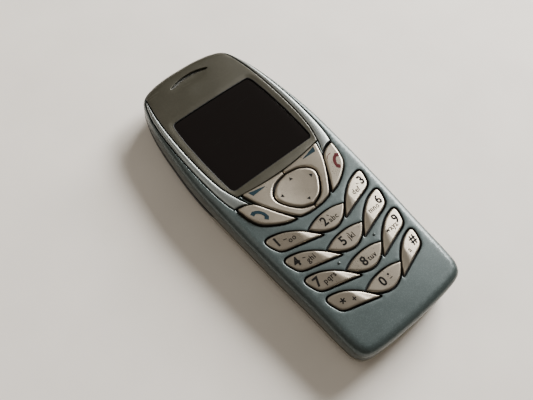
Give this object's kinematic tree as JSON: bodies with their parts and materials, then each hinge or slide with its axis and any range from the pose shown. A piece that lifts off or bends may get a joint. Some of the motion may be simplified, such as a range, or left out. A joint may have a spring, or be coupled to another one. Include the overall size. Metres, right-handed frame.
{
  "type": "mobile phone",
  "caption": "Slim bar-shaped mobile phone with a colour display window, wing-shaped push keys, a four-way navigation key and a sliding rear cover over its battery.",
  "frame": {"origin": "on the flat back, in the middle of the phone's length and width", "axes": "+X to the phone's right, +Y to its top end, +Z out of its face"},
  "size_m": [0.044, 0.102, 0.0135],
  "materials": {
    "case_blue": "blue-grey metallic paint, satin",
    "silver_paint": "silver paint, satin",
    "key_silver": "warm silver paint, satin",
    "window_gunmetal": "clear plastic printed gunmetal on its back, satin gloss",
    "rear_silver": "warm silver paint, satin",
    "dark_plastic": "dark grey moulded plastic, fine texture",
    "silicone": "grey silicone rubber",
    "tinned_steel": "tinned steel",
    "board_green": "green board lacquer",
    "display_glass": "dark display glass, switched off",
    "gold_contact": "gold plate",
    "white_plastic": "white moulded plastic"
  },
  "bodies": {
    "chassis": {"chassis": "dark_plastic", "circuit_board": "board_green", "dome_sheet": "tinned_steel", "display_module": "display_glass", "display_frame": "white_plastic", "buzzer": "dark_plastic", "vibration_motor": "tinned_steel", "rf_shield": "tinned_steel", "baseband_shield": "tinned_steel", "system_connector": "dark_plastic", "charger_socket": "tinned_steel", "microphone_boot": "silicone", "battery_contacts": "gold_contact", "sim_base": "dark_plastic", "sim_card": "white_plastic", "antenna_module": "white_plastic", "antenna_cover": "dark_plastic", "power_switch": "tinned_steel", "screw_1": "tinned_steel", "screw_2": "tinned_steel", "screw_3": "tinned_steel", "screw_4": "tinned_steel", "battery": "dark_plastic", "release_spring": "tinned_steel"},
    "front_cover": {"front_cover": "case_blue", "display_window": "window_gunmetal", "trim_left": "silver_paint", "trim_right": "silver_paint", "keypad_mat": "silicone", "earpiece_mesh": "tinned_steel", "earpiece": "tinned_steel"},
    "rear_cover": {"rear_cover": "rear_silver"},
    "release_button": {"cover_release_button": "dark_plastic"},
    "vibration_weight": {"vibration_weight": "tinned_steel"},
    "power_key": {"power_key": "dark_plastic"},
    "nav_rocker": {"nav_rocker": "silicone"},
    "nav_key": {"nav_key": "key_silver"},
    "key_1": {"key_1": "key_silver"},
    "key_2": {"key_2": "key_silver"},
    "key_3": {"key_3": "key_silver"},
    "key_4": {"key_4": "key_silver"},
    "key_5": {"key_5": "key_silver"},
    "key_6": {"key_6": "key_silver"},
    "key_7": {"key_7": "key_silver"},
    "key_8": {"key_8": "key_silver"},
    "key_9": {"key_9": "key_silver"},
    "key_star": {"key_star": "key_silver"},
    "key_0": {"key_0": "key_silver"},
    "key_hash": {"key_hash": "key_silver"},
    "call_key": {"call_key": "key_silver"},
    "end_key": {"end_key": "key_silver"},
    "soft_key_left": {"soft_key_left": "key_silver"},
    "soft_key_right": {"soft_key_right": "key_silver"}
  },
  "joints": [
    {"name": "front_cover_lift", "type": "slide", "parent": "chassis", "child": "front_cover", "axis": [0, 0, 1], "range_m": [0, 0.025]},
    {"name": "rear_cover_slide", "type": "slide", "parent": "chassis", "child": "rear_cover", "axis": [0, -1, 0], "range_m": [0, 0.085]},
    {"name": "release_button_press", "type": "slide", "parent": "chassis", "child": "release_button", "axis": [0, 0, 1], "range_m": [0, 0.0006], "stiffness_N_per_m": 1500},
    {"name": "vibration_weight_spin", "type": "hinge", "parent": "chassis", "child": "vibration_weight", "pos_m": [0.0072, 0.0246, 0.0039], "axis": [1, 0, 0], "continuous": true},
    {"name": "power_key_press", "type": "slide", "parent": "front_cover", "child": "power_key", "axis": [0, -1, 0], "range_m": [0, 0.0004], "stiffness_N_per_m": 2500},
    {"name": "nav_tilt_up_down", "type": "hinge", "parent": "front_cover", "child": "nav_rocker", "pos_m": [0, -0.00375, 0.01062], "axis": [1, 0, 0], "range_deg": [-3, 3], "stiffness_Nm_per_rad": 0.15},
    {"name": "nav_tilt_left_right", "type": "hinge", "parent": "nav_rocker", "child": "nav_key", "pos_m": [0, -0.00375, 0.01062], "axis": [0, 1, 0], "range_deg": [-3, 3], "stiffness_Nm_per_rad": 0.15},
    {"name": "key_1_press", "type": "slide", "parent": "front_cover", "child": "key_1", "axis": [0, 0, -1], "range_m": [0, 0.00045], "stiffness_N_per_m": 1200},
    {"name": "key_2_press", "type": "slide", "parent": "front_cover", "child": "key_2", "axis": [0, 0, -1], "range_m": [0, 0.00045], "stiffness_N_per_m": 1200},
    {"name": "key_3_press", "type": "slide", "parent": "front_cover", "child": "key_3", "axis": [0, 0, -1], "range_m": [0, 0.00045], "stiffness_N_per_m": 1200},
    {"name": "key_4_press", "type": "slide", "parent": "front_cover", "child": "key_4", "axis": [0, 0, -1], "range_m": [0, 0.00045], "stiffness_N_per_m": 1200},
    {"name": "key_5_press", "type": "slide", "parent": "front_cover", "child": "key_5", "axis": [0, 0, -1], "range_m": [0, 0.00045], "stiffness_N_per_m": 1200},
    {"name": "key_6_press", "type": "slide", "parent": "front_cover", "child": "key_6", "axis": [0, 0, -1], "range_m": [0, 0.00045], "stiffness_N_per_m": 1200},
    {"name": "key_7_press", "type": "slide", "parent": "front_cover", "child": "key_7", "axis": [0, 0, -1], "range_m": [0, 0.00045], "stiffness_N_per_m": 1200},
    {"name": "key_8_press", "type": "slide", "parent": "front_cover", "child": "key_8", "axis": [0, 0, -1], "range_m": [0, 0.00045], "stiffness_N_per_m": 1200},
    {"name": "key_9_press", "type": "slide", "parent": "front_cover", "child": "key_9", "axis": [0, 0, -1], "range_m": [0, 0.00045], "stiffness_N_per_m": 1200},
    {"name": "key_star_press", "type": "slide", "parent": "front_cover", "child": "key_star", "axis": [0, 0, -1], "range_m": [0, 0.00045], "stiffness_N_per_m": 1200},
    {"name": "key_0_press", "type": "slide", "parent": "front_cover", "child": "key_0", "axis": [0, 0, -1], "range_m": [0, 0.00045], "stiffness_N_per_m": 1200},
    {"name": "key_hash_press", "type": "slide", "parent": "front_cover", "child": "key_hash", "axis": [0, 0, -1], "range_m": [0, 0.00045], "stiffness_N_per_m": 1200},
    {"name": "call_key_press", "type": "slide", "parent": "front_cover", "child": "call_key", "axis": [0, 0, -1], "range_m": [0, 0.00045], "stiffness_N_per_m": 1200},
    {"name": "end_key_press", "type": "slide", "parent": "front_cover", "child": "end_key", "axis": [0, 0, -1], "range_m": [0, 0.00045], "stiffness_N_per_m": 1200},
    {"name": "soft_key_left_press", "type": "slide", "parent": "front_cover", "child": "soft_key_left", "axis": [0, 0, -1], "range_m": [0, 0.00045], "stiffness_N_per_m": 1200},
    {"name": "soft_key_right_press", "type": "slide", "parent": "front_cover", "child": "soft_key_right", "axis": [0, 0, -1], "range_m": [0, 0.00045], "stiffness_N_per_m": 1200}
  ]
}
